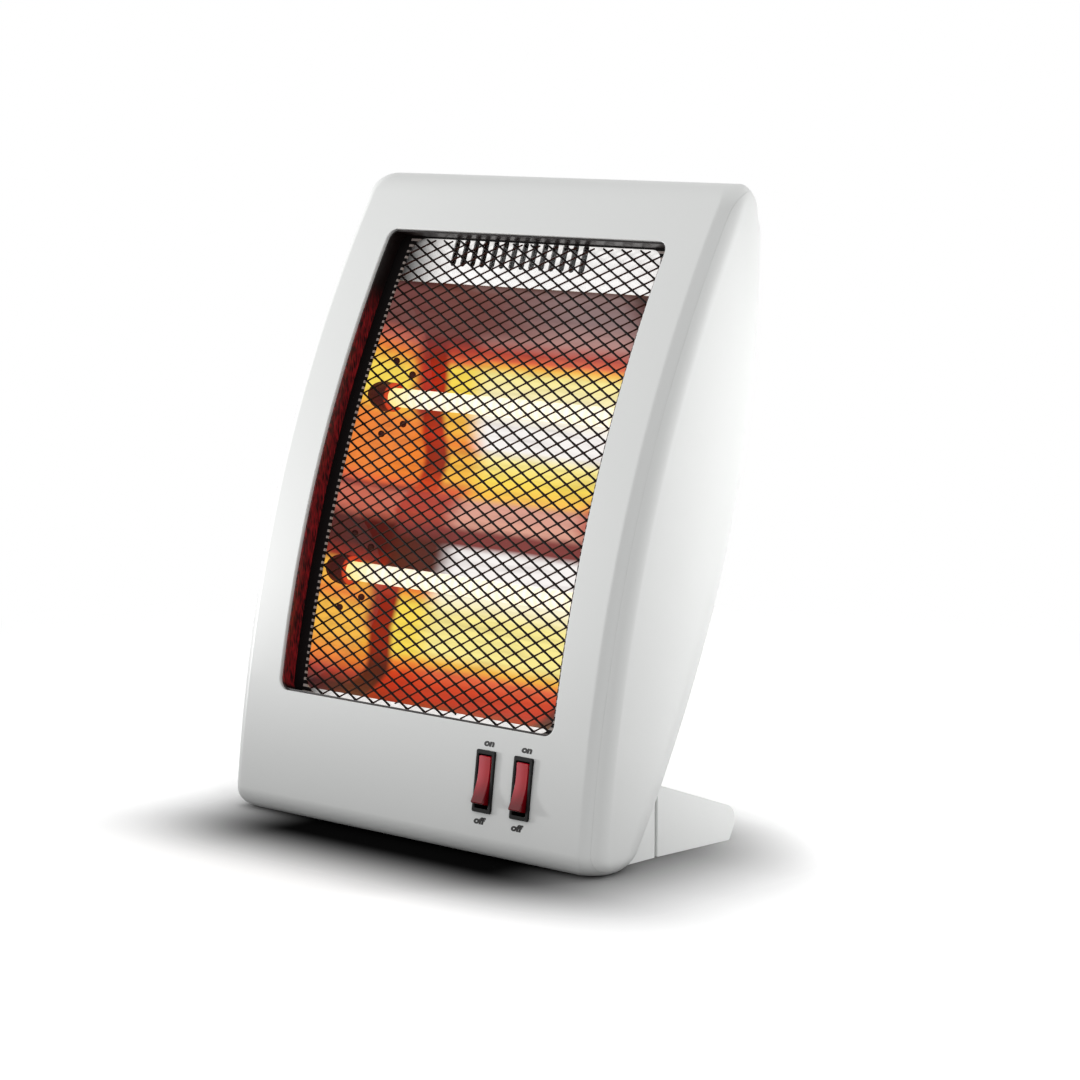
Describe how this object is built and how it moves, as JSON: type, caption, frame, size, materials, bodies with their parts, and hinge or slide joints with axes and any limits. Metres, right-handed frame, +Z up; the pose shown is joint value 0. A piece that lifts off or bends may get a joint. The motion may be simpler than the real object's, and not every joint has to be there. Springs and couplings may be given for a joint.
{
  "type": "room heater",
  "caption": "Small free-standing radiant room heater: moulded white body with a leaning curved front, quartz tubes before a bright reflector, mesh guard, red rocker switches and two rear feet.",
  "frame": {"origin": "on the floor, under the middle of the heater's outline", "axes": "+Z up, -Y towards the room (the glowing front faces -Y), +X to the right as seen from the front"},
  "size_m": [0.256, 0.1539, 0.33],
  "materials": {
    "white_plastic": "satin moulded",
    "white_enamel": "satin enamel on thin sheet",
    "bright_aluminium": "bright rolled sheet",
    "black_wire": "black coated wire",
    "quartz_glass": "frosted quartz",
    "heating_wire": "drawn wire",
    "brown_ceramic": "matte fired",
    "white_ceramic": "matte fired",
    "zinc_steel": "zinc plated",
    "black_plastic": "satin moulded",
    "red_plastic": "gloss moulded",
    "grey_plastic": "satin moulded",
    "brass": "stamped sheet"
  },
  "bodies": {
    "heater": {"front_bezel": "white_plastic", "rear_housing": "white_plastic", "rear_foot_left": "white_plastic", "rear_foot_right": "white_plastic", "guard_mesh": "black_wire", "guard_frame": "black_wire", "chassis_plate": "white_enamel", "reflector": "bright_aluminium", "end_plate_left": "bright_aluminium", "end_plate_right": "bright_aluminium", "quartz_tube_upper": "quartz_glass", "quartz_tube_lower": "quartz_glass", "heating_coil_upper": "heating_wire", "heating_coil_lower": "heating_wire", "ceramic_cap_upper_left": "brown_ceramic", "ceramic_cap_upper_right": "brown_ceramic", "ceramic_cap_lower_left": "brown_ceramic", "ceramic_cap_lower_right": "brown_ceramic", "tube_terminal_upper_left": "zinc_steel", "tube_terminal_upper_right": "zinc_steel", "tube_terminal_lower_left": "zinc_steel", "tube_terminal_lower_right": "zinc_steel", "switch_body_left": "black_plastic", "switch_body_right": "black_plastic", "switch_tab_left_upper": "brass", "switch_tab_left_lower": "brass", "switch_tab_right_upper": "brass", "switch_tab_right_lower": "brass", "tip_over_switch": "black_plastic", "tip_over_spring": "zinc_steel", "tip_switch_tab_left": "brass", "tip_switch_tab_right": "brass", "terminal_block": "white_ceramic", "cord_gland": "black_plastic", "housing_screw_top_left": "zinc_steel", "housing_screw_top_right": "zinc_steel", "housing_screw_low_left": "zinc_steel", "housing_screw_low_right": "zinc_steel", "chassis_screw_top_left": "zinc_steel", "chassis_screw_top_right": "zinc_steel", "chassis_screw_low_left": "zinc_steel", "chassis_screw_low_right": "zinc_steel", "foot_screw_left": "zinc_steel", "foot_screw_right": "zinc_steel"},
    "left_rocker": {"rocker_left": "red_plastic"},
    "right_rocker": {"rocker_right": "red_plastic"},
    "tip_plunger": {"tip_over_plunger": "grey_plastic"}
  },
  "joints": [
    {"name": "rocker_left_tilt", "type": "hinge", "parent": "heater", "child": "left_rocker", "pos_m": [0.055, -0.06693, 0.03861], "axis": [1, 0, 0], "range_deg": [0, 18]},
    {"name": "rocker_right_tilt", "type": "hinge", "parent": "heater", "child": "right_rocker", "pos_m": [0.08, -0.06693, 0.03861], "axis": [1, 0, 0], "range_deg": [0, 18]},
    {"name": "tip_plunger_slide", "type": "slide", "parent": "heater", "child": "tip_plunger", "axis": [0, 0, 1], "range_m": [-0.005, 0.001], "stiffness_N_per_m": 15, "springref_m": -0.006, "deforming": ["tip_over_spring"]}
  ]
}
